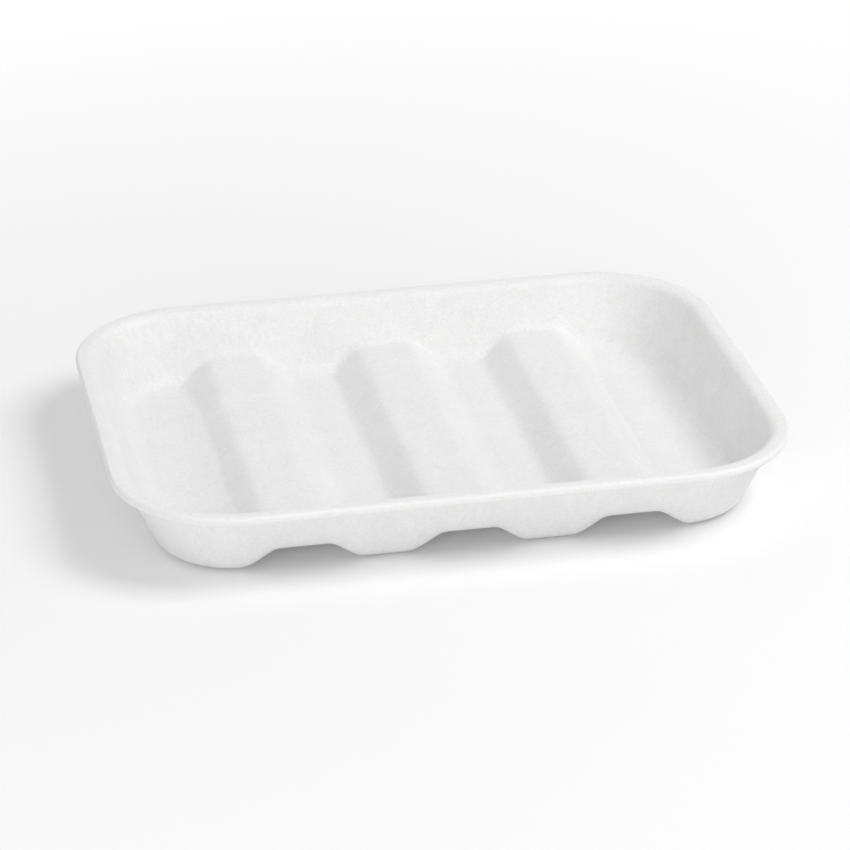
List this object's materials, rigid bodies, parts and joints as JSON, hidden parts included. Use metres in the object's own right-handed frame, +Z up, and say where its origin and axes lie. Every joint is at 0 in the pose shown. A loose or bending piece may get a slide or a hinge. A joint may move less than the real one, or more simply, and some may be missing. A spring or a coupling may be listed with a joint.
{
  "type": "foam meat tray",
  "caption": "Shallow rectangular foam food tray with a flat flared rim, sloped walls, rounded corners and broad ribs pressed across its floor.",
  "frame": {"origin": "middle of the base, on the surface that the tray stands on", "axes": "+Z up out of the open side; +X along the length, with the long side that the picture shows facing -Y; +Y across the width"},
  "size_m": [0.241, 0.178, 0.029],
  "materials": {
    "foam": "white closed-cell polystyrene foam sheet, satin skin with very fine cells showing through"
  },
  "bodies": {
    "root": {"tray": "foam"}
  },
  "joints": []
}
